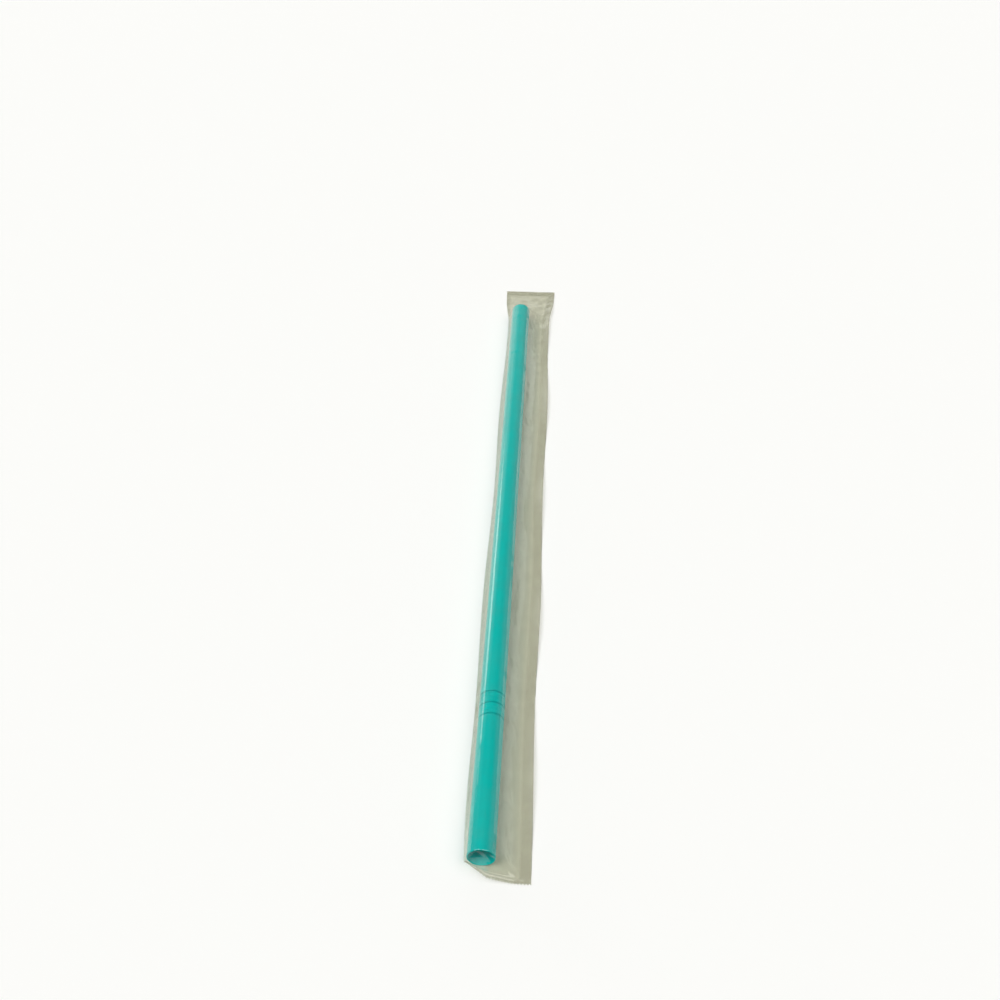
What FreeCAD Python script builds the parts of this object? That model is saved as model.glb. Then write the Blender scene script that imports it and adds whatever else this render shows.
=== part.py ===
# Wrapped drinking straw: one bendable plastic straw sealed in a clear film sleeve, lying on its side.
# Millimetres. +Z is up, the straw runs along +Y, and the end with the bellows is the near one, at -Y.
# The origin is the middle of the footprint, on the surface that the pack lies on.
import FreeCAD
import Part
import Sketcher
import math
import os

Vector = FreeCAD.Vector

doc = FreeCAD.newDocument("WrappedStraw")

# Driving sizes: name, value, what it is.
SIZES = [
    ("straw_length", 210.0, "straw, end to end"),
    ("straw_diameter", 6.0, "outside of the tube"),
    ("straw_wall", 0.18, "wall of the tube"),
    ("bellows_start", 34.4, "near end of the straw to the first groove"),
    ("groove_pitch", 1.06, "from one fold of the bellows to the next"),
    ("groove_count", 7, "folds in the bellows"),
    ("open_groove_count", 3, "folds that stand open, evenly spread over the bellows"),
    ("open_groove_depth", 0.5, "depth of a fold that stands open"),
    ("open_groove_width", 0.8, "width of a fold that stands open"),
    ("closed_groove_depth", 0.2, "depth of the line where a fold is shut"),
    ("closed_groove_width", 0.3, "width of the line where a fold is shut"),
    ("fold_width", 0.94, "length along the straw of the wall that is folded inwards"),
    ("film_thickness", 0.12, "film of the sleeve"),
    ("film_gap", 0.1, "between the straw and the film round it"),
    ("underside_trim", 0.02, "taken off the underside to make it level"),
    ("fold_margin", 1.6, "side of the straw to the lengthwise fold of the film"),
    ("tent_width", 4.0, "side of the straw to where the upper film comes down on the lower"),
    ("wing_width", 7.4, "side of the straw to the sealed long edge"),
    ("side_seal_width", 2.0, "seal along the long edge"),
    ("wing_rise", 1.1, "how far the long edge lifts off the surface"),
    ("ripple_length", 46.0, "from one lift of the long edge to the next"),
    ("edge_wander", 0.5, "how far the long edges stray inwards"),
    ("wander_length", 78.0, "from one stray of the long edges to the next"),
    ("near_slack", 2.4, "empty film between the near end of the straw and its end seal"),
    ("near_shoulder", 0.36, "how much of that the film keeps its full height over"),
    ("far_slack", 16.0, "empty film between the far end of the straw and its end seal"),
    ("far_flare", 1.1, "how much wider each side of the film is where it lies flat there"),
    ("near_seal_width", 1.5, "crimped seal at the near end"),
    ("far_seal_width", 3.0, "crimped seal at the far end"),
    ("near_lift", 2.8, "how far the mouth of the straw holds the fold up at the near end seal"),
    ("near_tuck", 2.6, "how far it draws the fold in there"),
    ("crimp_pitch", 0.75, "from one ridge across an end seal to the next"),
    ("crimp_height", 0.15, "height of a ridge"),
    ("tooth_pitch", 1.2, "from one tooth of the cut ends to the next"),
    ("tooth_depth", 0.5, "depth of the teeth"),
]

sheet = doc.addObject("Spreadsheet::Sheet", "sizes")
for row, (name, value, note) in enumerate(SIZES, start=1):
    sheet.set(f"A{row}", name)
    sheet.set(f"B{row}", str(value))
    sheet.set(f"C{row}", note)
    sheet.setAlias(f"B{row}", name)
doc.recompute()


def size(name):
    """A driving size, read from the sheet."""
    return float(sheet.get(name))


def origin_feature(body, role):
    """The body's own base plane or axis with that role."""
    return next(f for f in body.Origin.OriginFeatures if f.Role == role)


def new_sketch(body, name, role):
    """An empty sketch on one of the body's own base planes."""
    sketch = body.newObject("Sketcher::SketchObject", name)
    sketch.AttachmentSupport = [(origin_feature(body, role), "")]
    sketch.MapMode = "FlatFace"
    return sketch


def bound_polygon(sketch, corners):
    """A closed outline whose corners are pairs of expressions in the sheet's sizes."""
    count = len(corners)
    rough = [
        Vector(3 + math.cos(2 * math.pi * k / count), 3 + math.sin(2 * math.pi * k / count), 0)
        for k in range(count)
    ]
    for k in range(count):
        sketch.addGeometry(Part.LineSegment(rough[k], rough[(k + 1) % count]), False)
    for k in range(count):
        after = (k + 1) % count
        sketch.addConstraint(Sketcher.Constraint("Coincident", k, 2, after, 1))
    for k, (across, along) in enumerate(corners):
        places = (("DistanceX", rough[k].x, across), ("DistanceY", rough[k].y, along))
        for kind, start, expression in places:
            index = sketch.addConstraint(Sketcher.Constraint(kind, -1, 1, k, 1, start))
            sketch.setExpression(f"Constraints[{index}]", expression)


def round_feature(body, kind, name, sketch):
    """A full turn of the sketch about the straw's own axis, added or cut."""
    feature = body.newObject(kind, name)
    feature.Profile = sketch
    feature.ReferenceAxis = (sketch, ["V_Axis"])
    feature.Angle = 360
    return feature


def repeat_along(body, name, features, count, spread):
    """Copies of the features along the straw: how many, and from the first to the last."""
    pattern = body.newObject("PartDesign::LinearPattern", name)
    pattern.Originals = features
    pattern.Direction = (origin_feature(body, "Z_Axis"), [""])
    pattern.setExpression("Occurrences", count)
    pattern.setExpression("Length", spread)
    body.Tip = pattern
    return pattern


def make_straw():
    """The straw: one extruded tube with bellows rolled into it, modelled upright and then laid down."""
    body = doc.addObject("PartDesign::Body", "Straw")
    body.Label = "straw"

    ring = new_sketch(body, "TubeSection", "XY_Plane")
    for diameter in ("sizes.straw_diameter", "sizes.straw_diameter - 2 * sizes.straw_wall"):
        rough = Part.Circle(Vector(0, 0, 0), Vector(0, 0, 1), 1 + ring.GeometryCount)
        circle = ring.addGeometry(rough, False)
        ring.addConstraint(Sketcher.Constraint("Coincident", circle, 3, -1, 1))
        index = ring.addConstraint(Sketcher.Constraint("Diameter", circle, 2.0 + 2 * circle))
        ring.setExpression(f"Constraints[{index}]", diameter)
    tube = body.newObject("PartDesign::Pad", "Tube")
    tube.Profile = ring
    tube.setExpression("Length", "sizes.straw_length")

    # Each fold takes the wall inwards: a rib stands in the bore behind every groove.
    bore = "sizes.straw_diameter / 2 - sizes.straw_wall"
    start = "sizes.bellows_start"
    rib = new_sketch(body, "FoldSection", "XZ_Plane")
    bound_polygon(rib, [
        (f"{bore} + sizes.straw_wall / 2", f"{start} - sizes.fold_width / 2"),
        (f"{bore} + sizes.straw_wall / 2", f"{start} + sizes.fold_width / 2"),
        (f"{bore}", f"{start} + sizes.fold_width / 2"),
        (f"{bore} - sizes.open_groove_depth", f"{start} + sizes.fold_width / 6"),
        (f"{bore} - sizes.open_groove_depth", f"{start} - sizes.fold_width / 6"),
        (f"{bore}", f"{start} - sizes.fold_width / 2"),
    ])
    fold = round_feature(body, "PartDesign::Revolution", "Fold", rib)

    def groove(name, width, depth):
        """A V-shaped groove round the outside at the first fold."""
        section = new_sketch(body, name + "Section", "XZ_Plane")
        bound_polygon(section, [
            ("sizes.straw_diameter / 2", f"{start} - {width} / 2"),
            ("sizes.straw_diameter / 2 + sizes.straw_wall", f"{start} - {width} / 2"),
            ("sizes.straw_diameter / 2 + sizes.straw_wall", f"{start} + {width} / 2"),
            ("sizes.straw_diameter / 2", f"{start} + {width} / 2"),
            (f"sizes.straw_diameter / 2 - {depth}", start),
        ])
        return round_feature(body, "PartDesign::Groove", name, section)

    shut = groove("ShutGroove", "sizes.closed_groove_width", "sizes.closed_groove_depth")
    spread = "(sizes.groove_count - 1) * sizes.groove_pitch"
    repeat_along(body, "Folds", [fold, shut], "sizes.groove_count", spread)
    open_groove = groove("OpenGroove", "sizes.open_groove_width", "sizes.open_groove_depth")
    repeat_along(body, "OpenGrooves", [open_groove], "sizes.open_groove_count", spread)

    # Laid down along +Y on the lower film, to the left of the middle of the footprint.
    body.Placement = FreeCAD.Placement(Vector(0, 0, 0), FreeCAD.Rotation(Vector(1, 0, 0), -90))
    body.setExpression("Placement.Base.x", "(sizes.fold_margin - sizes.wing_width) / 2")
    body.setExpression(
        "Placement.Base.y",
        "(sizes.near_slack + sizes.near_seal_width - sizes.far_slack - sizes.far_seal_width"
        " - sizes.straw_length) / 2",
    )
    body.setExpression(
        "Placement.Base.z",
        "sizes.film_thickness - sizes.underside_trim + sizes.film_gap + sizes.straw_diameter / 2",
    )
    return body


def wave(y, pitch):
    """A smooth rise from 0 at y = 0 to 1 and back, once in every pitch."""
    return (1 - math.cos(2 * math.pi * y / pitch)) / 2


def make_film_wrapper():
    """The sleeve: one film folded lengthwise round the straw, sealed along its other edge and at both ends.

    It is drawn from sections across the straw, with the straw's axis at x = 0, its near end at y = 0
    and the lower film's underside at z = 0. In each section the film is a belt round a circle that lies
    on the lower film: the straw itself along its length, and a circle that shrinks to nothing past its
    ends. A shaving off the underside then leaves one level face to rest on.
    """
    length = size("straw_length")
    radius = size("straw_diameter") / 2
    film = size("film_thickness")
    full_circle = radius + size("film_gap")
    shut_circle = film / 6
    near_seal_width = size("near_seal_width")
    far_seal_width = size("far_seal_width")

    def belt(y, circle, lift=0, tuck=0, ridge=0):
        """The outer and the inner outline of the film in the section at y."""
        stray = size("edge_wander") * wave(y, size("wander_length"))
        swell = size("wing_rise") * wave(y, size("ripple_length"))
        flare = size("far_flare") * (1 - circle / full_circle) if y > length else 0
        fold_x = -(radius + size("fold_margin")) + stray + tuck - flare
        foot_x = radius + size("tent_width") - stray + flare
        edge_x = radius + size("wing_width") - stray + flare
        seal_x = edge_x - size("side_seal_width")
        corner = Vector(fold_x + film, 0, film)
        foot = Vector(foot_x, 0, film)
        centre = Vector(0, 0, film + circle)
        lean_left = 2 * math.atan(circle / -corner.x)
        lean_right = 2 * math.atan(circle / foot.x)
        lean_top = (lean_right - lean_left) / 2
        normal_left = Vector(-math.sin(lean_left), 0, math.cos(lean_left))
        normal_right = Vector(math.sin(lean_right), 0, math.cos(lean_right))
        normal_top = Vector(math.sin(lean_top), 0, math.cos(lean_top))
        outside = circle + film
        outer_foot_x = (outside - math.cos(lean_right) * (2 * film - centre.z)) / math.sin(lean_right)
        tilt = math.asin(lift / (foot_x - fold_x))

        def laid(point):
            """Tilts the straw's side of the section about the foot, and sets it at y."""
            dx = point.x - foot_x
            return Vector(
                foot_x + dx * math.cos(tilt) + point.z * math.sin(tilt),
                y,
                point.z * math.cos(tilt) - dx * math.sin(tilt) + ridge,
            )

        def wing(x, z, rise):
            return Vector(x, y, z + rise + ridge)

        def over(distance):
            """The film over the circle: its two ends and its middle, that far from the circle's centre."""
            return [laid(centre + n * distance) for n in (normal_left, normal_top, normal_right)]

        def outline(corners, arc):
            """Straight edges through the corners, with the arc after the first one."""
            edges = [Part.LineSegment(corners[0], arc[0]).toShape(), Part.Arc(*arc).toShape()]
            path = [arc[2]] + corners[1:] + [corners[0]]
            edges += [Part.LineSegment(a, b).toShape() for a, b in zip(path, path[1:])]
            return Part.Wire(edges)

        outer = outline(
            [
                laid(corner + normal_left * film),
                laid(Vector(outer_foot_x, 0, 2 * film)),
                wing(seal_x, 2 * film, swell / 2),
                wing(edge_x, 2 * film, swell),
                wing(edge_x, 0, swell),
                wing(seal_x, 0, swell / 2),
                wing(foot_x, 0, 0),
                laid(Vector(fold_x, 0, 0)),
            ],
            over(outside),
        )
        inner = outline([laid(corner), laid(foot)], over(circle))
        return outer, inner

    def end_seal(inside_y, direction, width, lift=0, tuck=0):
        """Sections of an end seal, from its inner line to the cut edge, with ridges pressed across it."""
        steps = 2 * round(width / size("crimp_pitch"))
        return [
            belt(
                inside_y + direction * width * k / steps,
                shut_circle,
                lift,
                tuck * (1 + k / steps) / 2,
                size("crimp_height") * (k % 2),
            )
            for k in range(steps + 1)
        ]

    near_seal_y = -size("near_slack")
    far_seal_y = length + size("far_slack")
    near_seal = end_seal(near_seal_y, -1, near_seal_width, size("near_lift"), size("near_tuck"))[::-1]
    far_seal = end_seal(far_seal_y, 1, far_seal_width)
    sections_per_ripple = 4
    spans = math.ceil(sections_per_ripple * length / size("ripple_length"))
    along = [(-size("near_shoulder"), full_circle)]
    along += [(length * k / spans, full_circle) for k in range(spans + 1)]
    # Past the far end the film sinks in three steps: over the rim, half way down, and nearly flat.
    for share_of_slack, share_of_height in ((0.03, 1.0), (0.3, 0.5), (0.62, 0.12)):
        along.append((length + size("far_slack") * share_of_slack, full_circle * share_of_height))
    middle = [belt(y, circle) for y, circle in along]

    sections = near_seal + middle + far_seal
    hollow = near_seal[-1:] + middle + far_seal[:1]
    sleeve = Part.makeLoft([outer for outer, _ in sections], True, True)
    space = Part.makeLoft([inner for _, inner in hollow], True, True)
    sleeve = sleeve.cut(space)

    def teeth(edge_y, direction):
        """What the toothed blade takes away past the cut edge."""
        pitch = size("tooth_pitch")
        count = math.ceil((size("straw_diameter") + size("fold_margin") + size("wing_width")) / pitch) + 2
        start_x = -(radius + size("fold_margin")) - pitch
        beyond = edge_y + direction * pitch
        root = edge_y - direction * size("tooth_depth")
        blade = [Vector(start_x, beyond, -pitch)]
        for k in range(count):
            blade.append(Vector(start_x + k * pitch, root, -pitch))
            blade.append(Vector(start_x + (k + 0.5) * pitch, edge_y, -pitch))
        blade.append(Vector(start_x + count * pitch, root, -pitch))
        blade.append(Vector(start_x + count * pitch, beyond, -pitch))
        height = 2 * pitch + size("near_lift") + size("straw_diameter")
        return Part.Face(Part.makePolygon(blade + blade[:1])).extrude(Vector(0, 0, height))

    near_cut_y = near_seal_y - near_seal_width
    far_cut_y = far_seal_y + far_seal_width
    sleeve = sleeve.cut(teeth(near_cut_y, -1))
    sleeve = sleeve.cut(teeth(far_cut_y, 1))

    shaving_width = 4 * size("wing_width")
    shaving_length = far_cut_y - near_cut_y + 2 * far_seal_width
    shaving = Part.makeBox(shaving_width, shaving_length, far_seal_width)
    shaving.translate(
        Vector(
            -shaving_width / 2,
            near_cut_y - far_seal_width,
            size("underside_trim") - far_seal_width,
        )
    )
    sleeve = sleeve.cut(shaving)

    wrapper = doc.addObject("Part::Feature", "FilmWrapper")
    wrapper.Label = "film_wrapper"
    wrapper.Shape = sleeve
    wrapper.Placement = FreeCAD.Placement(
        Vector(
            (size("fold_margin") - size("wing_width")) / 2,
            -(near_cut_y + far_cut_y) / 2,
            -size("underside_trim"),
        ),
        FreeCAD.Rotation(),
    )
    return wrapper


parts = [make_straw(), make_film_wrapper()]
doc.recompute()

for made in doc.Objects:
    if "Invalid" in made.State or "Error" in made.State:
        raise RuntimeError(f"{made.Name} did not build: {made.State}")
for part in parts:
    if part.Shape.isNull() or not part.Shape.isValid():
        raise RuntimeError(f"{part.Label} has no valid shape")
    if len(part.Shape.Solids) != 1:
        raise RuntimeError(f"{part.Label} should be one solid and is {len(part.Shape.Solids)}")

os.makedirs("parts", exist_ok=True)
for part in parts:
    part.Shape.exportStep(f"parts/{part.Label}.step")
    box = part.Shape.BoundBox
    print(f"{part.Label}: {part.Shape.Volume:.1f} mm3")
    print(f"  x {box.XMin:.2f} to {box.XMax:.2f}")
    print(f"  y {box.YMin:.2f} to {box.YMax:.2f}")
    print(f"  z {box.ZMin:.2f} to {box.ZMax:.2f}")
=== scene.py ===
# %% [markdown]
# # A drinking straw in its clear sleeve
#
# The object is one bendable plastic straw, sealed in a sleeve of clear film that is folded lengthwise round
# it. The frame holds both pieces as plain solids. This lesson puts a finer piece in the place of each of
# them: a spun tube with rolled bellows, and a real sheet of film that is folded, sealed and crumpled.

# %% Load the frame
import math

import bpy
import numpy as np
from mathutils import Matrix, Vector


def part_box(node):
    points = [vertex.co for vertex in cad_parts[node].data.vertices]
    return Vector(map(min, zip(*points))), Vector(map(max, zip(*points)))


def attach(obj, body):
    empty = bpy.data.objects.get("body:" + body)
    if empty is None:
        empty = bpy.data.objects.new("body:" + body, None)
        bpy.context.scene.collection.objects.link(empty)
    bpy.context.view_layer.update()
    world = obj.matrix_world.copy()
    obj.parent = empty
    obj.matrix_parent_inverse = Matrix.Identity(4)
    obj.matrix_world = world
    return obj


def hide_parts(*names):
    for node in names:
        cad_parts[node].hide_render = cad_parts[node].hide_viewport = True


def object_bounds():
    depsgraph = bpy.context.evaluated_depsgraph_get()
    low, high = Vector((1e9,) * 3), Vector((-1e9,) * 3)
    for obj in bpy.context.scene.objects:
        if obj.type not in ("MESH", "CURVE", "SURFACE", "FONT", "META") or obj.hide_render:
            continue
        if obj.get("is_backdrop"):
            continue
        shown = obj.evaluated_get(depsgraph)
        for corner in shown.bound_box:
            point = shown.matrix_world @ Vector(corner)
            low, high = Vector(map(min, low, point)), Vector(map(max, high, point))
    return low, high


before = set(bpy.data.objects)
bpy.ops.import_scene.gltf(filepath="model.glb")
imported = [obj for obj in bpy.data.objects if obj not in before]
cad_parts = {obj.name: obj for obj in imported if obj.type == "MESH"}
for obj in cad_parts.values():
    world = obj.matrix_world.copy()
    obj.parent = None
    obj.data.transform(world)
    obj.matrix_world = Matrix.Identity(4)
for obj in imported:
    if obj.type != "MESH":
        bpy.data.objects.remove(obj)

MM = 0.001
cad_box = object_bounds()
straw_low, straw_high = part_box("straw")
AXIS_X = (straw_low.x + straw_high.x) / 2 / MM
AXIS_Z = (straw_low.z + straw_high.z) / 2 / MM
RADIUS = (straw_high.x - straw_low.x) / 2 / MM
LENGTH = (straw_high.y - straw_low.y) / MM
NEAR_Y = straw_low.y / MM
print(f"straw {2 * RADIUS:.2f} x {LENGTH:.1f} mm, axis at x {AXIS_X:.2f}, z {AXIS_Z:.2f} mm")

# %% [markdown]
# ## Camera
#
# The pack is looked at along its length from above its near end. The lens and the place were worked out
# from three things that are known of the straw: its length, its width near the camera, and its width far
# away. The camera looks 41.2 degrees down and is turned 3.04 degrees off the straw's own direction.

# %% Camera
FROM_MOUTH = (10.242, -120.069, 202.191)  # millimetres from the middle of the straw's near end
LOOK_DOWN, TURN = 41.2, 3.035
SENSOR, LENS = 36, 39.6

mouth = (AXIS_X, NEAR_Y, AXIS_Z)
bpy.ops.object.select_all(action="DESELECT")
bpy.ops.object.camera_add(
    location=[(start + away) * MM for start, away in zip(mouth, FROM_MOUTH)],
    rotation=(math.radians(90 - LOOK_DOWN), 0, math.radians(TURN)),
)
camera = bpy.context.object
camera.data.sensor_width = SENSOR
camera.data.lens = LENS
camera.data.clip_start = 0.01
bpy.context.scene.camera = camera
print("camera at", [round(c, 4) for c in camera.location])

# %% [markdown]
# ## Colours and nodes
#
# Colours are picked on a screen, as sRGB hex values, and a shader wants linear light. One function turns
# the one into the other. A second function adds a node with its settings and its links, so that each
# material below reads as a short list.


# %% Helpers for materials
def linear(hex_colour):
    """An sRGB hex colour as the linear values that a shader takes."""
    channels = [int(hex_colour[i:i + 2], 16) / 255 for i in (1, 3, 5)]
    return [c / 12.92 if c <= 0.04045 else ((c + 0.055) / 1.055) ** 2.4 for c in channels] + [1.0]


def add_node(tree, kind, sockets=None, **settings):
    """Adds a node. settings are its options; sockets are its inputs, as values or as outputs to link."""
    made = tree.nodes.new(kind)
    for name, value in settings.items():
        setattr(made, name, value)
    for name, value in (sockets or {}).items():
        if isinstance(value, bpy.types.NodeSocket):
            tree.links.new(value, made.inputs[name])
        else:
            made.inputs[name].default_value = value
    return made


def new_material(name):
    """An empty node material and its output."""
    material = bpy.data.materials.new(name)
    material.use_nodes = True
    material.node_tree.nodes.clear()
    return material, material.node_tree


print("the grey #808080 is", round(linear("#808080")[0], 3), "of white as linear light")

# %% [markdown]
# ## The straw's plastic
#
# The tube is polypropylene, coloured in the melt and drawn out of a ring-shaped die. Its IOR is 1.49. The
# die leaves very fine lines along the tube, a tenth of a millimetre apart. They are drawn half a millimetre
# apart here, so that they show at all. They hardly change the colour, but the gloss wavers a little.

# %% Straw plastic
TEAL, LIGHTER_TEAL = "#00D2D6", "#00DCDE"
DIE_LINES = (2000, 18, 2000)  # per metre: close together across the tube, and long along it

straw_plastic, tree = new_material("extruded polypropylene, teal")
place = add_node(tree, "ShaderNodeTexCoord")
stretch = add_node(tree, "ShaderNodeMapping", {"Vector": place.outputs["Object"], "Scale": DIE_LINES})
die_lines = add_node(
    tree, "ShaderNodeTexNoise", {"Vector": stretch.outputs["Vector"], "Scale": 1.0, "Detail": 2.0}
)
shade = add_node(
    tree,
    "ShaderNodeMix",
    {"Factor": die_lines.outputs["Fac"], "A": linear(TEAL), "B": linear(LIGHTER_TEAL)},
    data_type="RGBA",
)
gloss = add_node(
    tree,
    "ShaderNodeMapRange",
    {"Value": die_lines.outputs["Fac"], "To Min": 0.16, "To Max": 0.26},
)
bump = add_node(
    tree,
    "ShaderNodeBump",
    {"Height": die_lines.outputs["Fac"], "Strength": 0.12, "Distance": 0.00002},
)
plastic = add_node(
    tree,
    "ShaderNodeBsdfPrincipled",
    {
        "Base Color": shade.outputs["Result"],
        "Roughness": gloss.outputs["Result"],
        "Normal": bump.outputs["Normal"],
        "IOR": 1.49,
        "Specular IOR Level": 0.35,
    },
)
add_node(tree, "ShaderNodeOutputMaterial", {"Surface": plastic.outputs["BSDF"]})
print("made", straw_plastic.name)

# %% [markdown]
# ## The straw's outline
#
# A turned or extruded thing is fully described by half of its section. The list below walks round the wall
# once: out along the outer side, over the far rim, and back along the bore. The bellows are seven folds
# rolled into the wall and pushed together. Three of them stand a little open and look like dark rings.

# %% Outline of the wall
WALL = 0.18
RIM = 0.035
FOLDS, OPEN_EVERY = 7, 3
FIRST_FOLD, FOLD_PITCH = 34.4, 1.06
# Each kind of fold from lip to lip, as pairs of a place along the straw and a change of radius.
OPEN_FOLD = [(-0.34, 0.0), (-0.29, -0.02), (-0.26, -0.1), (-0.21, -0.54), (0.0, -0.6),
             (0.21, -0.54), (0.26, -0.1), (0.29, -0.02), (0.34, 0.0)]
SHUT_FOLD = [(-0.18, 0.0), (-0.1, -0.02), (-0.04, -0.09), (0.0, -0.12),
             (0.04, -0.09), (0.1, -0.02), (0.18, 0.0)]
# Rings on the plain tube, so that no face of it gets too long.
RINGS_BEFORE = (12.0, 24.0, FIRST_FOLD - 1.0)
RINGS_AFTER = (FIRST_FOLD + 7.8, 60.0, 85.0, 110.0, 135.0, 160.0, 185.0)


def wall_side(depth):
    """One side of the wall as (y, radius) pairs, depth millimetres in from the outside."""
    plain = RADIUS - depth
    side = [(y, plain) for y in (RIM, *RINGS_BEFORE)]
    for fold in range(FOLDS):
        middle = FIRST_FOLD + fold * FOLD_PITCH
        shape = SHUT_FOLD if fold % OPEN_EVERY else OPEN_FOLD
        side += [(middle + along, plain + dent) for along, dent in shape]
        if fold < FOLDS - 1:
            side.append((middle + FOLD_PITCH / 2, plain))
    return side + [(y, plain) for y in (*RINGS_AFTER, LENGTH - RIM)]


outer_side = [(0.0, RADIUS - RIM)] + wall_side(0.0) + [(LENGTH, RADIUS - RIM)]
inner_side = [(0.0, RADIUS - WALL + RIM)] + wall_side(WALL) + [(LENGTH, RADIUS - WALL + RIM)]
outline = outer_side + inner_side[::-1]
print(len(outline), "points round the wall")

# %% [markdown]
# ## Spinning the straw
#
# A plane is merged down to one vertex, which is then extruded from point to point of the outline. Spin
# turns that line once round the axis. The first and the last ring fall together, so doubles are merged, and
# the normals are made to point out of the plastic.

# %% Spin the straw
AROUND = 96  # faces round the tube
CLOSE = 0.000002  # metres within which two vertices are one
SHARP = 25  # degrees; edges that turn more stay sharp, as those of the folds do

bpy.ops.object.select_all(action="DESELECT")
bpy.ops.mesh.primitive_plane_add(
    size=MM,
    location=((AXIS_X + outline[0][1]) * MM, (NEAR_Y + outline[0][0]) * MM, AXIS_Z * MM),
)
straw = bpy.context.object
straw.name = "bendable_straw"
bpy.ops.object.transform_apply(location=True, rotation=True, scale=True)
bpy.ops.object.mode_set(mode="EDIT")
bpy.ops.mesh.select_all(action="SELECT")
bpy.ops.mesh.merge(type="CENTER")
for (y, r), (next_y, next_r) in zip(outline, outline[1:] + outline[:1]):
    step = ((next_r - r) * MM, (next_y - y) * MM, 0)
    bpy.ops.mesh.extrude_vertices_move(TRANSFORM_OT_translate={"value": step})
bpy.ops.mesh.select_all(action="SELECT")
bpy.ops.mesh.remove_doubles(threshold=CLOSE)
bpy.ops.mesh.select_all(action="SELECT")
bpy.ops.mesh.spin(
    steps=AROUND, angle=2 * math.pi, center=(AXIS_X * MM, 0, AXIS_Z * MM), axis=(0, 1, 0)
)
bpy.ops.mesh.select_all(action="SELECT")
bpy.ops.mesh.remove_doubles(threshold=CLOSE)
bpy.ops.mesh.normals_make_consistent(inside=False)
bpy.ops.object.mode_set(mode="OBJECT")
bpy.ops.object.shade_smooth_by_angle(angle=math.radians(SHARP))
straw.data.materials.clear()
straw.data.materials.append(straw_plastic)
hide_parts("straw")
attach(straw, "root")
print(len(straw.data.polygons), "faces in the straw")

# %% [markdown]
# ## The film as it comes off the roll
#
# The sleeve is one strip of clear film, about 36 mm wide. Its middle line becomes the fold at the straw's
# side, and its two long edges are sealed together on the other side. So the lesson starts from a flat grid:
# its columns run along the straw, half of them over it and half under it, and its rows cross the straw.
# The rows lie closer where the film is crimped or bends sharply.

# %% Rows and columns of the film
HALF = 42  # columns from the fold to the sealed edge
NEAR_CUT, NEAR_SEAL = -3.9, -2.4
FAR_SLACK, FAR_SEAL_WIDTH = 16.0, 3.0
FAR_SEAL = LENGTH + FAR_SLACK
FAR_CUT = FAR_SEAL + FAR_SEAL_WIDTH
# Where each stretch of the film starts, and how many rows it has.
STRETCHES = (
    (NEAR_CUT, 24), (NEAR_SEAL, 16), (0.6, 349), (LENGTH - 0.6, 6), (LENGTH + 1.0, 30), (FAR_SEAL, 24),
)

ends = [start for start, _ in STRETCHES[1:]] + [FAR_CUT]
rows = np.concatenate([
    np.linspace(start, end, count, endpoint=False) for (start, count), end in zip(STRETCHES, ends)
] + [[FAR_CUT]])
bpy.ops.object.select_all(action="DESELECT")
bpy.ops.mesh.primitive_grid_add(x_subdivisions=2 * HALF, y_subdivisions=len(rows) - 1, size=1)
film = bpy.context.object
film.name = "film_sleeve"
web = np.zeros(len(film.data.vertices) * 3)
film.data.vertices.foreach_get("co", web)
web = web.reshape(-1, 3)
column = np.rint((web[:, 0] + 0.5) * 2 * HALF).astype(int)
row = np.rint((web[:, 1] + 0.5) * (len(rows) - 1)).astype(int)
print(len(rows), "rows and", 2 * HALF + 1, "columns,", len(web), "vertices")

# %% [markdown]
# ## One section of the sleeve
#
# Cut across, the sleeve is a belt pulled round the straw. It runs from the fold up to the straw, over it,
# and down to the foot, where it meets the lower film. From there both films lie together as a flat
# wing. The tangents from a point to a circle give the places where the film leaves the straw. All values
# are in millimetres from the straw's axis and from the floor.

# %% Section of the sleeve
FILM = 0.035  # its thickness
PAIR = 0.08  # from the lower film to the upper one where they lie together
SNUG = RADIUS + FILM + 0.01  # radius of the film on the straw
TABLE = 0.004  # height at which the lower film lies
FOLD_MARGIN, FOOT_MARGIN, WING_WIDTH = 1.6, 4.0, 7.4  # each from the straw's side
WANDER, WANDER_PITCH = 0.5, 78.0
FLARE = 1.1
EDGE_LIFT, LIFT_PITCH = 1.1, 46.0
NEAR_RISE, RISE_END = 2.2, 26.0
ARC_POINTS, WING_POINTS = 24, 12


def wave(y, pitch):
    """A smooth rise from 0 at y = 0 to 1 and back, once in every pitch."""
    return (1 - np.cos(2 * np.pi * y / pitch)) / 2


def even_points(path, count):
    """That many points, evenly spaced along a path of (x, z) points."""
    path = np.asarray(path, float)
    gaps = np.hypot(*np.diff(path, axis=0).T)
    run = np.concatenate([[0], np.cumsum(gaps)])
    at = np.linspace(0, run[-1], count)
    return np.stack([np.interp(at, run, path[:, 0]), np.interp(at, run, path[:, 1])], axis=1)


def touch_angle(point, centre_z, radius, side):
    """The angle at which a line from the point touches the circle."""
    dx, dz = point[0], point[1] - centre_z
    reach = max(math.hypot(dx, dz), radius * 1.001)
    return math.atan2(dz, dx) % (2 * math.pi) + side * math.acos(radius / reach)


def arc(centre_z, radius, start, end):
    """Points along the circle, from one angle to the other."""
    angles = np.linspace(start, end, ARC_POINTS)
    return np.stack([radius * np.cos(angles), centre_z + radius * np.sin(angles)], axis=1)


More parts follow.
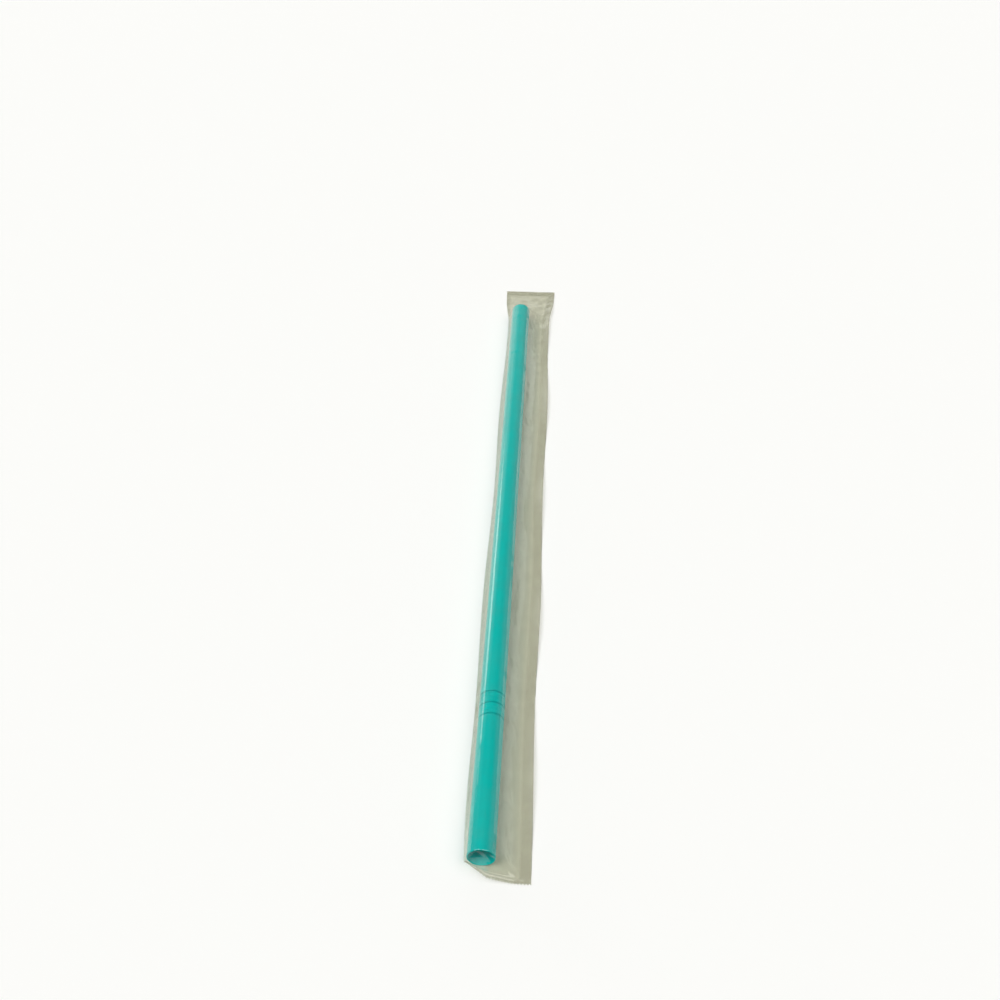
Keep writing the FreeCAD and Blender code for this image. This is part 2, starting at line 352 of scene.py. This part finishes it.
def lines_at(y):
    """Where the fold, the foot and the sealed edge are at y, and how far the edge lifts."""
    stray = WANDER * wave(y, WANDER_PITCH)
    flare = FLARE * np.interp(y - LENGTH, [0, 5, 10, FAR_SLACK], [0, 0.5, 0.88, 1])
    fold = -(RADIUS + FOLD_MARGIN) + stray - flare
    foot = RADIUS + FOOT_MARGIN - stray + flare
    edge = RADIUS + WING_WIDTH - stray + flare
    return fold, foot, edge, EDGE_LIFT * wave(y, LIFT_PITCH)


def wing(foot, edge, lift):
    """The lower film beyond the foot, curving up towards its edge."""
    x = np.linspace(foot, edge, WING_POINTS)
    return np.stack([x, TABLE + lift * ((x - foot) / (edge - foot)) ** 1.5], axis=1)


def belt(y):
    """The upper and the lower film at y, from the fold to the sealed edge."""
    fold, foot, edge, lift = lines_at(y)
    size = np.interp(y - LENGTH, [0.5, 5, 10, FAR_SLACK], [1, 0.5, 0.12, 0.01])
    radius = SNUG * size
    centre_z = radius + (AXIS_Z - SNUG) * size
    rise = NEAR_RISE * max(1 - y / RISE_END, 0.0) ** 1.6
    fold_point = (fold + 0.45 * rise, 0.03 + rise)
    foot_point = (foot, TABLE + PAIR)
    leave_left = touch_angle(fold_point, centre_z, radius, -1)
    under_left = touch_angle(fold_point, centre_z, radius, 1)
    leave_right = touch_angle(foot_point, centre_z, radius, 1) - 2 * math.pi
    flat = wing(foot, edge, lift)
    upper = [fold_point, *arc(centre_z, radius, leave_left, leave_right), *(flat + [0, PAIR])]
    lowest = 1.5 * math.pi
    lower = [fold_point, *arc(centre_z, radius, min(under_left, lowest), lowest), *flat]
    return upper, lower


upper, lower = belt(LENGTH / 2)
print("belt at the middle:", len(upper), "points over,", len(lower), "under")

# %% [markdown]
# ## Sections of the end seals
#
# At each end the two films are pressed flat together. The far seal lies on the table. The near one is
# narrow, and so close to the mouth of the straw that its folded corner is held up in the air.

# %% Sections of the seals and of the whole sleeve
CORNER_X, CORNER_RISE, CORNER_CURVE = -3.1, 3.6, 1.1


def pressed(y):
    """The upper and the lower film in an end seal."""
    fold, foot, edge, lift = lines_at(y)
    corner, raised = (CORNER_X, CORNER_RISE) if y < 0 else (fold, 0.0)
    x = np.linspace(corner, foot, 30)
    hollow = raised * ((foot - x) / (foot - corner)) ** CORNER_CURVE
    flat = np.concatenate([np.stack([x, TABLE + hollow], axis=1), wing(foot, edge, lift)[1:]])
    return flat + [0, PAIR], flat


def sleeve_section(y):
    """Evenly spaced points over and under, from the fold to the sealed edge, at y."""
    inside = NEAR_SEAL < y < FAR_SEAL
    upper, lower = belt(max(y, 0.0)) if inside else pressed(y)
    upper, lower = even_points(upper, HALF + 1), even_points(lower, HALF + 1)
    if inside and y < 0:
        share = y / NEAR_SEAL
        flat_upper, flat_lower = pressed(NEAR_SEAL)
        upper = (1 - share) * upper + share * even_points(flat_upper, HALF + 1)
        lower = (1 - share) * lower + share * even_points(flat_lower, HALF + 1)
    return upper, lower


sections = [sleeve_section(y) for y in rows]
over = np.array([s[0] for s in sections])
under = np.array([s[1] for s in sections])
print("film over the straw is", round(float(np.hypot(*np.diff(over[200], axis=0).T).sum()), 1), "mm wide")

# %% [markdown]
# ## Softening the folds
#
# Film is springy, so it doesn't turn sharply where it leaves the straw or meets the table. Averaging each
# point a few times with its neighbours rounds those turns. The straw itself pushes the film out again.

# %% Round the turns
def soften(points, times):
    """Each point moves towards its two neighbours across the straw, except at the borders."""
    for _ in range(times):
        points[:, 1:-1] = (points[:, :-2] + 2 * points[:, 1:-1] + points[:, 2:]) / 4
    return points


over = soften(over, 3)
y_of_row = np.repeat(rows[:, None], HALF + 1, axis=1)
on_straw = (y_of_row >= 0) & (y_of_row <= LENGTH + 0.4)


def clear_of_straw(points, on):
    """Points that came inside the straw go back to its surface."""
    dx, dz = points[..., 0], points[..., 1] - AXIS_Z
    reach = np.hypot(dx, dz)
    push = np.where(on & (reach < SNUG), SNUG / np.maximum(reach, 0.1), 1.0)
    return np.stack([dx * push, AXIS_Z + dz * push], axis=-1)


over = clear_of_straw(over, on_straw)
print("highest point of the film", round(float(over[..., 1].max()), 2), "mm")

# %% [markdown]
# ## Crumples
#
# Where film has been handled it keeps straight creases, sharp at the crest and soft beside it. Each crease
# is a short line on the flat film with a height. The heights of all of them are added up. They gather where
# the film has room: at both ends, over the bellows, and beside the straw. A fixed seed gives the same
# film on every run.

# %% Creases on the flat film
dice = np.random.default_rng(11)


def creases(count, centre, spread, height, slant, across=21.0):
    """Random creases, gathered about a place along the straw.

    Each one is a row: its middle across and along, direction, half length, width and height.
    """
    return np.stack([
        dice.uniform(0, across, count),
        dice.normal(centre, spread, count),
        np.pi / 2 + dice.normal(0, slant, count),
        dice.uniform(1.5, 6.0, count),
        dice.uniform(0.3, 0.7, count),
        dice.normal(0, height, count),
    ], axis=1)


all_creases = np.concatenate([
    creases(90, LENGTH + 5, 8.0, 0.26, 0.6),  # the slack film past the far end
    creases(34, LENGTH - 12, 9.0, 0.12, 0.7),  # the last stretch over the straw
    creases(40, 1.0, 5.0, 0.08, 0.8),  # the near end
    creases(40, 39.0, 9.0, 0.13, 0.9),  # over the bellows
    creases(24, 40.0, 4.0, 0.18, 0.9, across=3.5),  # beside the bellows, along the fold
    creases(110, 110.0, 60.0, 0.07, 0.8),  # a few everywhere
])


def crumple(s, y):
    """How far the film stands out at s across and y along the flat film."""
    total = np.zeros_like(s)
    for middle, along, turn, half, width, height in all_creases:
        ds, dy = s - middle, y - along
        t = ds * np.cos(turn) + dy * np.sin(turn)
        d = -ds * np.sin(turn) + dy * np.cos(turn)
        fade = np.clip(1 - (t / half) ** 2, 0, 1) ** 2
        total += height * fade * np.exp(-np.abs(d) / width)
    return total


def ripple(s, y):
    """Long, shallow waves along the film, from the pull of the packing machine."""
    return 0.03 * np.sin(s * 1.9 + 2.0 * np.sin(y / 17.0)) * wave(y + 9 * np.sin(s), 31.0)


print(len(all_creases), "creases")

# %% [markdown]
# ## Folding the sheet
#
# Now each vertex of the grid goes to its place. On the straw the film can only stand outwards. In the wing
# and in the seals both films move together. The end seals get crimped ribs, which run across the straw,
# and a toothed cut: every second column ends half a millimetre short.

# %% Crumple the upper film and the wing
FOOT_BLEND = 0.8  # the two films come together over this width beyond the foot

run_over = np.concatenate(
    [np.zeros((len(rows), 1)), np.cumsum(np.hypot(*np.moveaxis(np.diff(over, axis=1), 2, 0)), axis=1)],
    axis=1,
)
slope = np.gradient(over, axis=1)
normal = np.stack([-slope[..., 1], slope[..., 0]], axis=-1)
normal /= np.maximum(np.linalg.norm(normal, axis=-1, keepdims=True), 1e-9)
height = crumple(run_over, y_of_row) + ripple(run_over, y_of_row)

reach = np.hypot(over[..., 0], over[..., 1] - AXIS_Z)
touching = on_straw & (reach < SNUG + 0.05)
# Film on the straw is pulled tight, most of all near the mouth.
taut = 0.45 * np.clip(y_of_row / 18.0, 0.15, 1)
height = np.where(touching, taut * np.maximum(height, 0), height)
foot_line = np.array([lines_at(y)[1] for y in rows])[:, None]
beyond = np.clip((over[..., 0] - foot_line) / FOOT_BLEND, 0, 1)
height = np.where(beyond > 0, np.abs(height), height)
border = np.minimum(np.arange(HALF + 1) / 2, 1)[None, :]
over = over + normal * (height * border * np.where(on_straw, 1, 0.8))[..., None]
over = clear_of_straw(over, on_straw)
over[..., 1] = np.maximum(over[..., 1], TABLE + PAIR)

# The lower film follows the upper one in the wing and in the end seals.
for k, y in enumerate(rows):
    if NEAR_SEAL < y < FAR_SEAL:
        under_x = under[k, :, 0]
        follows = np.clip((under_x - foot_line[k]) / FOOT_BLEND, 0, 1)
        above = np.interp(under_x, over[k, :, 0], over[k, :, 1]) - PAIR
        under[k, :, 1] = (1 - follows) * under[k, :, 1] + follows * above
    else:
        under[k] = over[k] - [0, PAIR]
under[..., 1] = np.maximum(under[..., 1], TABLE)
print("film now reaches", round(float(over[..., 1].max()), 2), "mm high")


# %% Crimped ribs and toothed cut
RIB_HEIGHT, RIB_PITCH = 0.14, 0.75
TOOTH_DEPTH, TOOTH_REACH = 0.5, 0.6


def seal_depth(y):
    """How far into an end seal y is, in millimetres, and 0 outside the seals."""
    return np.maximum(NEAR_SEAL - y, 0) + np.maximum(y - FAR_SEAL, 0)


ribs = RIB_HEIGHT * wave(seal_depth(rows), RIB_PITCH)[:, None]
over[..., 1] += ribs
under[..., 1] += ribs

sheet_x = np.concatenate([over[:, ::-1, 0], under[:, 1:, 0]], axis=1)
sheet_z = np.concatenate([over[:, ::-1, 1], under[:, 1:, 1]], axis=1)
sheet_y = np.repeat(rows[:, None], 2 * HALF + 1, axis=1)
every_second = np.abs(np.arange(2 * HALF + 1) - HALF) % 2
to_cut = np.minimum(sheet_y - NEAR_CUT, FAR_CUT - sheet_y)
tooth = np.interp(to_cut, [0, TOOTH_REACH], [TOOTH_DEPTH, 0]) * every_second
sheet_y += np.where(sheet_y < 0, tooth, -tooth)

# The raised corner of the near end is drawn back towards the mouth.
drawn = np.clip(1.4 - sheet_x, 0, None) * np.clip((-0.9 - sheet_y) / 3.0, 0, 1)
sheet_y += 0.56 * drawn

# Both long edges meet in one line, and so do the two films along each cut end.
for line in (sheet_x, sheet_y, sheet_z):
    line[:, 0] = line[:, -1] = (line[:, 0] + line[:, -1]) / 2
    line[[0, -1]] = (line[[0, -1]] + line[[0, -1], ::-1]) / 2
print("sleeve is", round(float(np.ptp(sheet_x)), 1), "mm by", round(float(np.ptp(sheet_y)), 1), "mm")

# %% [markdown]
# ## Welding and thickness
#
# The vertices are moved in one go, the edges that touch are merged, and Solidify gives the film its real
# thickness of 35 thousandths of a millimetre, inwards from the surface that was shaped.

# %% Fold the grid
LONG_SEAL = 2.6  # width of the sealed strip along the wing
FOLD_STRIP = 1.4  # width of the strip that the fold has whitened
WELD = 0.000001  # metres within which two vertices are one

web[:, 0] = (AXIS_X + sheet_x[row, column]) * MM
web[:, 1] = (NEAR_Y + sheet_y[row, column]) * MM
web[:, 2] = sheet_z[row, column] * MM
film.data.vertices.foreach_set("co", web.ravel())

# How far each place is sealed, and how far it was handled, for the material to use.
at_y, at_x = rows[row], sheet_x[row, column]
fold_line, _, edge_line, _ = np.array([lines_at(y) for y in rows])[row].T
in_long_seal = np.clip((at_x - edge_line + LONG_SEAL) / 0.3, 0, 1)
in_end_seal = np.clip(seal_depth(at_y) / 0.2, 0, 1)
in_fold = 0.6 * np.clip((fold_line + FOLD_STRIP - at_x) / 0.8, 0, 1)
sealed = film.data.attributes.new("sealed", "FLOAT", "POINT")
sealed.data.foreach_set(
    "value", np.maximum.reduce([in_long_seal, in_end_seal, in_fold]).astype(np.float32)
)

handled = sum(
    share * np.exp(-((at_y - centre) / spread) ** 2)
    for centre, spread, share in ((-2.0, 7.0, 0.3), (39.0, 11.0, 0.5), (LENGTH + 8, 26.0, 1.0))
)
beside_straw = np.clip((np.hypot(at_x, sheet_z[row, column] - AXIS_Z) - SNUG - 0.1) / 0.6, 0.06, 1)
crumpled = film.data.attributes.new("crumpled", "FLOAT", "POINT")
crumpled.data.foreach_set("value", ((0.15 + handled) * beside_straw).astype(np.float32))

bpy.ops.object.select_all(action="DESELECT")
film.select_set(True)
bpy.context.view_layer.objects.active = film
bpy.ops.object.mode_set(mode="EDIT")
bpy.ops.mesh.select_all(action="SELECT")
bpy.ops.mesh.remove_doubles(threshold=WELD)
bpy.ops.object.mode_set(mode="OBJECT")
print(len(film.data.vertices), "vertices in the folded sheet")

# %% Give the film its thickness
bpy.ops.object.mode_set(mode="EDIT")
bpy.ops.mesh.select_all(action="SELECT")
bpy.ops.mesh.normals_make_consistent(inside=False)
bpy.ops.object.mode_set(mode="OBJECT")
thicken = film.modifiers.new("film thickness", "SOLIDIFY")
thicken.thickness = FILM * MM
thicken.offset = -1
bpy.ops.object.modifier_apply(modifier=thicken.name)
bpy.ops.object.shade_smooth()
print(len(film.data.polygons), "faces in the film")

# %% [markdown]
# ## The film's finish
#
# The film is cast polypropylene, IOR 1.49. Each of its faces mirrors almost 4% of the light that comes
# straight at it, and more that skims it. Schlick's formula adds a share that grows with (1 - cosine) to the
# fifth, and Layer Weight's Facing is that 1 - cosine. Real film is so wavy that its skimming reflections
# are thrown about, and only about half of that share is seen, so the formula's 96% is brought down to 45%.
# The rest goes straight through and is dimmed a little by each face. Where the film lies in several
# layers, that adds up to the grey of the wing. A little light is scattered as haze, more in the sealed
# strips, which were melted together, and in the long fold. Where the film was handled, small facets break
# up the gloss.

# %% Clear film
STRAIGHT_ON, SKIMMING = 0.037, 0.45
SEAL_HAZE, PATCH_HAZE = 0.05, 0.02

clear_film, tree = new_material("cast polypropylene film, clear")
sealed_strip = add_node(tree, "ShaderNodeAttribute", attribute_name="sealed")
place = add_node(tree, "ShaderNodeTexCoord")
patches = add_node(
    tree,
    "ShaderNodeTexNoise",
    {"Vector": place.outputs["Object"], "Scale": 260.0, "Detail": 3.0, "Roughness": 0.6},
)
haze_patches = add_node(
    tree,
    "ShaderNodeMapRange",
    {"Value": patches.outputs["Fac"], "From Min": 0.35, "From Max": 0.7, "To Max": PATCH_HAZE},
)
haze = add_node(
    tree,
    "ShaderNodeMath",
    {0: sealed_strip.outputs["Fac"], 1: SEAL_HAZE, 2: haze_patches.outputs["Result"]},
    operation="MULTIPLY_ADD",
)
crumpled_part = add_node(tree, "ShaderNodeAttribute", attribute_name="crumpled")
longer = add_node(
    tree, "ShaderNodeMapping", {"Vector": place.outputs["Object"], "Scale": (1.0, 0.6, 1.0)}
)
facets = add_node(tree, "ShaderNodeTexVoronoi", {"Vector": longer.outputs["Vector"], "Scale": 400.0})
facet_height = add_node(
    tree, "ShaderNodeMath", {0: facets.outputs["Distance"], 1: crumpled_part.outputs["Fac"]},
    operation="MULTIPLY",
)
film_height = add_node(
    tree, "ShaderNodeMath", {0: patches.outputs["Fac"], 1: 0.05, 2: facet_height.outputs[0]},
    operation="MULTIPLY_ADD",
)
waviness = add_node(
    tree,
    "ShaderNodeBump",
    {"Height": film_height.outputs[0], "Strength": 1.0, "Distance": 0.0004},
)
through = add_node(tree, "ShaderNodeBsdfTransparent", {"Color": linear("#F7F7F3")})
scatter = add_node(
    tree, "ShaderNodeBsdfDiffuse", {"Color": linear("#B9B6A4"), "Normal": waviness.outputs["Normal"]}
)
mirror = add_node(
    tree,
    "ShaderNodeBsdfGlossy",
    {"Color": linear("#FFFFFF"), "Roughness": 0.05, "Normal": waviness.outputs["Normal"]},
)
body = add_node(
    tree, "ShaderNodeMixShader", {0: haze.outputs[0], 1: through.outputs[0], 2: scatter.outputs[0]}
)
flat_angle = add_node(
    tree, "ShaderNodeLayerWeight", {"Blend": 0.5, "Normal": waviness.outputs["Normal"]}
)
fifth = add_node(tree, "ShaderNodeMath", {0: flat_angle.outputs["Facing"], 1: 5.0}, operation="POWER")
mirrored = add_node(
    tree,
    "ShaderNodeMath",
    {0: fifth.outputs[0], 1: SKIMMING, 2: STRAIGHT_ON},
    operation="MULTIPLY_ADD",
)
surface = add_node(
    tree, "ShaderNodeMixShader", {0: mirrored.outputs[0], 1: body.outputs[0], 2: mirror.outputs[0]}
)
add_node(tree, "ShaderNodeOutputMaterial", {"Surface": surface.outputs[0]})
film.data.materials.clear()
film.data.materials.append(clear_film)
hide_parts("film_wrapper")
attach(film, "root")
print("made", clear_film.name)

# %% [markdown]
# ## Floor, world and lamps
#
# The floor is a plain white sheet that reaches the horizon. It keeps the soft shadow of the pack. The world
# is what the gloss mirrors: white walls near the horizon, darker ones at both sides, and dark above and
# behind the camera, so that the top of the straw keeps its colour. One bright window low on the left makes
# the thin light strip along the straw. Two wide suns stand for large soft lamps, both a little on the
# camera's side, so that they also light the mouth of the straw.

# %% Floor
FLOOR_LIFT = 0.12  # light that the camera and the gloss get from the floor, over what the lamps give

bpy.ops.object.select_all(action="DESELECT")
bpy.ops.mesh.primitive_circle_add(vertices=64, radius=4, fill_type="NGON", location=(0, 0, -0.00002))
floor = bpy.context.object
floor.name = "floor"
bpy.ops.object.transform_apply(location=True, rotation=True, scale=True)
white_sheet, tree = new_material("matt white paint")
rays = add_node(tree, "ShaderNodeLightPath")
seen = add_node(
    tree, "ShaderNodeMath", {0: rays.outputs["Is Camera Ray"], 1: rays.outputs["Is Glossy Ray"]},
    operation="MAXIMUM",
)
seen = add_node(
    tree, "ShaderNodeMath", {0: seen.outputs[0], 1: rays.outputs["Is Transmission Ray"]},
    operation="MAXIMUM",
)
lift = add_node(tree, "ShaderNodeMath", {0: seen.outputs[0], 1: FLOOR_LIFT}, operation="MULTIPLY")
paint = add_node(tree, "ShaderNodeBsdfDiffuse", {"Color": linear("#EFEFEC")})
glow = add_node(tree, "ShaderNodeEmission", {"Color": linear("#FFFFFF"), "Strength": lift.outputs[0]})
both = add_node(tree, "ShaderNodeAddShader", {0: paint.outputs[0], 1: glow.outputs[0]})
add_node(tree, "ShaderNodeOutputMaterial", {"Surface": both.outputs[0]})
floor.data.materials.append(white_sheet)
floor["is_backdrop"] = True
print("floor", [round(d, 2) for d in floor.dimensions])

# %% World and lamps
WINDOW = (-0.72, 0.68, 0.139)  # where the window is, seen from the pack
SOFTNESS = 44  # how wide each lamp looks from the pack, in degrees

world = bpy.data.worlds.new("studio")
world.use_nodes = True
tree = world.node_tree
tree.nodes.clear()
direction = add_node(tree, "ShaderNodeTexCoord")
part = add_node(tree, "ShaderNodeSeparateXYZ", {0: direction.outputs["Generated"]})


def smooth_range(value, from_min, from_max, to_min, to_max):
    """A smooth change from to_min to to_max, between the two from values."""
    return add_node(
        tree,
        "ShaderNodeMapRange",
        {"Value": value, "From Min": from_min, "From Max": from_max, "To Min": to_min, "To Max": to_max},
        interpolation_type="SMOOTHSTEP",
    ).outputs["Result"]


walls = smooth_range(part.outputs["Z"], 0.26, 0.68, 1.0, 0.06)
left_side = smooth_range(part.outputs["X"], -0.78, -0.48, 0.12, 1.0)
right_side = smooth_range(part.outputs["X"], 0.05, 0.5, 1.0, 0.35)
behind = smooth_range(part.outputs["Y"], -0.3, 0.3, 0.1, 1.0)
room = walls
for side in (left_side, right_side, behind):
    room = add_node(tree, "ShaderNodeMath", {0: room, 1: side}, operation="MULTIPLY").outputs[0]
towards = add_node(
    tree,
    "ShaderNodeVectorMath",
    {0: direction.outputs["Generated"], 1: WINDOW},
    operation="DOT_PRODUCT",
)
window = smooth_range(towards.outputs["Value"], 0.984, 0.9976, 0.0, 3.2)
room = add_node(tree, "ShaderNodeMath", {0: room, 1: window}, operation="ADD").outputs[0]
rays = add_node(tree, "ShaderNodeLightPath")
level = add_node(
    tree,
    "ShaderNodeMix",
    {"Factor": rays.outputs["Is Camera Ray"], "A": room, "B": 1.0},
    data_type="FLOAT",
)
sky = add_node(tree, "ShaderNodeBackground", {"Color": (1, 1, 1, 1), "Strength": level.outputs["Result"]})
add_node(tree, "ShaderNodeOutputWorld", {"Surface": sky.outputs[0]})
bpy.context.scene.world = world


def soft_sun(name, azimuth, elevation, strength):
    """A wide sun that shines from that azimuth, counted from the camera's side, and elevation."""
    bpy.ops.object.light_add(
        type="SUN", rotation=(math.radians(90 - elevation), 0, math.radians(azimuth))
    )
    lamp = bpy.context.object
    lamp.name = name
    lamp.data.energy = strength
    lamp.data.angle = math.radians(SOFTNESS)


soft_sun("left lamp", -58, 57, 2.25)
soft_sun("right lamp", 60, 58, 1.11)
bpy.context.scene.view_settings.view_transform = "Standard"
bpy.context.scene.cycles.transparent_max_bounces = 32
print("two lamps and a world")

# %% [markdown]
# ## Sizes
#
# The finished pieces must fill the same box as the solids. Both boxes are written down, to be compared.

# %% Write both boxes
visual_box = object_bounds()
for name, box in (("solids", cad_box), ("pieces", visual_box)):
    print(name, [[round(c / MM, 2) for c in corner] for corner in box])
